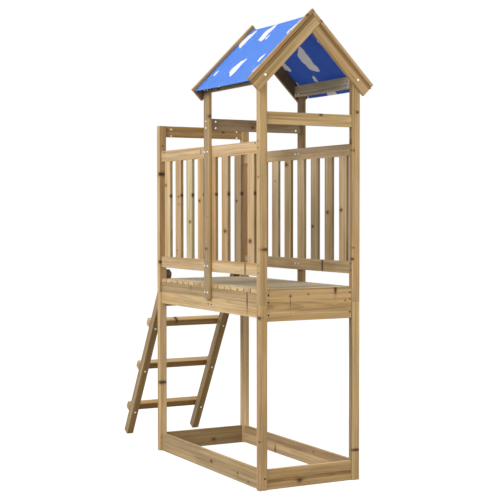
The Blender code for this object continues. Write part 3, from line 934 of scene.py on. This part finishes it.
def roof_cloth_points(front, rear, half_width):
    """The cloth's middle surface.

    Across, x runs from the left eave to the right one, which hangs a little lower; lengthwise, y runs from
    the front gable to the rear one. The height is the peak less the root of x squared plus a small rounding
    squared, less a sag that is a parabola along the free span, with shallow ripples that run up the slope
    and die out at the gables.
    """
    reach = np.linspace(-1.0, 1.0, POINTS_ACROSS)
    x = (half_width + RIGHT_EAVE_DROP * (reach > 0)) * np.sign(reach) * np.abs(reach) ** 1.15
    y = np.linspace(front, rear, POINTS_ALONG)
    y_grid, x_grid = np.meshgrid(y, x, indexing="ij")
    free_span = rear - front - 2.0 * CLAMPED_EDGE
    span = np.clip((y_grid - front - CLAMPED_EDGE) / free_span, 0.0, 1.0)
    hang = 4.0 * span * (1.0 - span)
    near_eave = np.minimum(np.abs(x_grid) / half_width, 1.0)
    ripple = np.sin(y_grid * 71.0 + 3.0 * np.sin(x_grid * 6.0)) * np.sin(near_eave * 2.6 + 0.2)
    rounding = RIDGE_ROUNDING[0] + RIDGE_ROUNDING[1] * hang
    slope = CLOTH_PEAK - np.sqrt(x_grid ** 2 + rounding ** 2)
    height = slope - CLOTH_SAG * hang + CLOTH_RIPPLE * hang * ripple
    return np.stack([x_grid, y_grid, height], axis=-1)


def add_roof_cloth():
    """The cloth: one stretched sheet from eave to eave over the ridge, its print the same on both sides.

    The inside's blue is darker than the outside's, as painted shade.
    """
    low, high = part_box("roof_cloth_left")
    width = high.y - low.y
    points = roof_cloth_points(low.y + GABLE_INSET, high.y - GABLE_INSET, -low.x)
    rows, columns, _ = points.shape
    faces = grid_faces(rows, columns)
    steps = np.linalg.norm(np.diff(points, axis=1), axis=-1)
    travelled = np.concatenate([np.zeros((rows, 1)), np.cumsum(steps, axis=1)], axis=1)
    from_ridge = travelled - travelled[:, columns // 2:columns // 2 + 1]
    half_length = float(-from_ridge.min())
    outside = cloth_material("roof_cloth_outside", SKY_OUTSIDE, half_length, width)
    # The inside copy is the same print with a darker blue: painted shade
    inside = cloth_material("roof_cloth_inside_shaded", SKY_INSIDE_SHADED, half_length, width)
    cloth = mesh_piece("roof_cloth", points, faces.tolist(), [outside, inside])
    flat = np.stack([from_ridge, points[:, :, 1] - low.y], axis=-1).reshape(-1, 2)
    layer = cloth.data.uv_layers.new(name="cut")
    layer.data.foreach_set("uv", flat[faces.reshape(-1)].astype(np.float32).ravel())
    thickness = cloth.modifiers.new("thickness", "SOLIDIFY")
    thickness.thickness = CLOTH_THICKNESS
    thickness.offset = 0.0
    thickness.material_offset = 1
    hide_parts("roof_cloth_left", "roof_cloth_right")


def within_recess(distance, reach):
    """One well within a reach of a head's middle line, falling to zero at the reach."""
    return np.clip((reach - np.abs(distance)) / RECESS_EDGE, 0.0, 1.0)


def head_surface(centre, outward, radius, height, recess, turn, rings, spokes):
    """A fastener's head as a closed surface: a pole, rings of points, and a second pole under the wood.

    The height over the wood is a flattened dome, the root of one less the fourth power of the ring's share,
    dropping under the surface at the rim. A cross or a slot is pressed in where the point lies within a
    smooth-edged bar through the middle.
    """
    shares = np.concatenate([np.linspace(0.86 / rings, 0.86, rings), [0.95, 1.0, 1.0]])
    spoke = np.linspace(0.0, 2.0 * np.pi, spokes, endpoint=False)
    ring_grid, spoke_grid = np.meshgrid(shares, spoke, indexing="ij")
    x = np.concatenate([[0.0], (ring_grid * np.cos(spoke_grid)).ravel(), [0.0]])
    y = np.concatenate([[0.0], (ring_grid * np.sin(spoke_grid)).ravel(), [0.0]])
    share = np.concatenate([[0.0], ring_grid.ravel(), [1.0]])
    lift = height * np.sqrt(np.clip(1.0 - share ** 4, 0.0, 1.0)) + RIM_LIFT
    lift[-1 - spokes:] = UNDERSIDE
    narrow = x * math.cos(turn) + y * math.sin(turn)
    long = y * math.cos(turn) - x * math.sin(turn)
    bars = {"cross": [(narrow, long), (long, narrow)], "slot": [(narrow, long)]}.get(recess, [])
    for thin, lengthwise in bars:
        within = within_recess(thin, RECESS_HALF_WIDTH) * within_recess(lengthwise, RECESS_HALF_LENGTH)
        lift = lift - within * height * RECESS_DEPTH
    normal = np.array(Vector(outward).normalized())
    helper = np.array([0.0, 0.0, 1.0]) if abs(normal[2]) < 0.9 else np.array([0.0, 1.0, 0.0])
    side = np.cross(helper, normal)
    side = side / np.linalg.norm(side)
    other = np.cross(normal, side)
    points = np.array(centre) + radius * (x[:, None] * side + y[:, None] * other) + lift[:, None] * normal
    around = np.arange(spokes)
    following = (around + 1) % spokes
    last = 1 + (len(shares) - 1) * spokes
    top = np.stack([np.zeros(spokes, dtype=int), 1 + around, 1 + following], axis=-1)
    bottom = np.stack([np.full(spokes, len(points) - 1), last + following, last + around], axis=-1)
    between = grid_faces(len(shares), spokes, closed=True)[:, ::-1] + 1
    return points, [top, between, bottom]


def add_heads(name, places, radius, height, recess, material, rings=8, spokes=24):
    """Many fastener heads as one piece: places are pairs of a point on the wood and its outward way."""
    chance = random.Random(name)
    all_points = []
    all_faces = []
    count = 0
    for centre, outward in places:
        turn = chance.uniform(0.0, math.pi)
        points, faces = head_surface(seat(*centre), outward, radius, height, recess, turn, rings, spokes)
        all_points.append(points)
        for block in faces:
            all_faces.extend((block + count).tolist())
        count += len(points)
    mesh_piece(name, np.concatenate(all_points), all_faces, [material])


def both_sides(points, outward_x):
    """Points on the left side, with their mirror images on the right; outward_x is the left one's way."""
    left = [((x, y, z), (outward_x, 0.0, 0.0)) for x, y, z in points]
    right = [((-x, y, z), (-outward_x, 0.0, 0.0)) for x, y, z in points]
    return left + right


def all_facing(way, points):
    """Points on surfaces that look one way."""
    return [(point, way) for point in points]


def rung_bolt_places():
    """Bolt heads on both sides of the ladder, at the middle of each rung, where it crosses a stile."""
    along = Vector(UP_LADDER)
    out = -Vector(UNDER_LADDER)
    places = []
    for number in (1, 2, 3):
        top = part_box(f"ladder_rung_{number}")[1].z
        reach = (top - RUNG_OUTER_FACE * out.z) / along.z - RUNG_HALF_HEIGHT
        near = Vector((0.0, LADDER_FOOT, 0.0)) + along * reach
        far = near + out * RUNG_OUTER_FACE
        for x in (-RUNG_BOLT_X, RUNG_BOLT_X):
            places.append(((x, near.y, near.z), tuple(-out)))
            places.append(((x, far.y, far.z), tuple(out)))
    return places


def add_bolts():
    """Bolts and nuts where middle posts, crossbars, gables and rungs are joined."""
    steel = metal_material("zinc_steel", (0.74, 0.74, 0.76, 1.0), 0.9, 0.28, 0.5)
    pairs = [(y, z) for z in (1.519, 0.978, 0.8515, 1.813) for y in (0.5064, 0.5374)]
    crossbar_pair = [(0.5219, 1.664), (0.5219, 1.633)]
    outer = [(-0.2663, y, z) for y, z in pairs + crossbar_pair]
    add_heads("mid_post_bolts", both_sides(outer, -1.0), 0.0050, 0.0024, "cross", steel)
    inner = [(-0.2340, y, z) for y, z in pairs]
    add_heads("mid_post_nuts", both_sides(inner, 1.0), 0.0046, 0.0030, None, steel)
    nuts = [(x, 0.5110, z) for x in (-0.2205, 0.2205) for z in (1.633, 1.664)]
    nuts += [(x, 1.0820, z) for x in (-0.1905, 0.1905) for z in (1.627, 1.660)]
    add_heads("crossbar_nuts", all_facing(TO_FRONT, nuts), 0.0050, 0.0010, "slot", steel)
    gable_bolts = all_facing(TO_FRONT, [(x, -0.0163, 1.834) for x in (-0.2413, 0.2413)])
    gable_bolts += all_facing(TO_BACK, [(x, 0.5633, 1.8165) for x in (-0.2583, 0.2583)])
    add_heads("rafter_bolts", gable_bolts, 0.0064, 0.0034, None, steel)
    add_heads("rung_bolts", rung_bolt_places(), 0.0052, 0.0026, "cross", steel)


def add_screws():
    """Dark countersunk screws in the skirt, rails, posts and roof boards, and in the planks."""
    dark = metal_material("dark_screw", (0.012, 0.010, 0.009, 1.0), 0.0, 0.72, 0.15)
    skirt_places = [(x, z) for x in (-0.2135, 0.2135) for z in (0.8662, 0.8338, 0.7767)]
    screws = all_facing(TO_FRONT, [(x, 0.0070, z) for x, z in skirt_places])
    screws += all_facing(TO_BACK, [(x, 1.0980, z) for x, z in skirt_places])
    screws += both_sides([(-0.250, y, 0.794) for y in (0.5337, 0.5015)], -1.0)
    screws += both_sides([(-0.250, y, 1.5388) for y in (1.0416, 0.0631)], -1.0)
    post_levels = (0.998, 0.965, 1.546, 1.516)
    screws += both_sides([(-0.2625, 0.0124, z) for z in post_levels], -1.0)
    screws += both_sides([(-0.2215, 0.0124, z) for z in post_levels], 1.0)
    screws += all_facing(TO_FRONT, [(-0.2351, 0.0, 0.052), (-0.2427, 1.0750, 1.5735)])
    screws += both_sides([(-0.234, 0.0681, 1.8328), (-0.234, 0.0783, 1.8167)], 1.0)
    add_heads("frame_screws", screws, 0.0042, 0.0004, "cross", dark, rings=5, spokes=12)
    last_middle = PLANK_LAST_EDGE - PLANK_WIDTH / 2
    plank_middles = [last_middle - index * PLANK_PITCH for index in range(PLANK_COUNT)]
    planks = all_facing(UP, [(x, y, PLANK_TOP) for y in plank_middles for x in (-0.240, 0.0, 0.240)])
    add_heads("plank_screws", planks, 0.0026, 0.0004, "cross", dark, rings=5, spokes=12)


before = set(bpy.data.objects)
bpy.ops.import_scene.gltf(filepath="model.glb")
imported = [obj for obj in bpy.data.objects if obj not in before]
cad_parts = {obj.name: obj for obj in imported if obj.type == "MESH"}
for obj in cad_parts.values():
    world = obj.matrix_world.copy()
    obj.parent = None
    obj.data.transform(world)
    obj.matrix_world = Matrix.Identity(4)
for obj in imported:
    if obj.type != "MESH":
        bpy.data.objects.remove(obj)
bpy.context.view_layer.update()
add_camera()
add_floor()
add_world()
for lamp_name, lamp_facts in LAMPS.items():
    add_light(lamp_name, *lamp_facts)
pine = pine_group()
for node_name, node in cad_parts.items():
    if not node_name.startswith("roof_cloth"):
        node.data.materials.clear()
        node.data.materials.append(pine_material(node_name, pine))
add_roof_cloth()
add_bolts()
add_screws()
bpy.context.scene.view_settings.view_transform = "Standard"
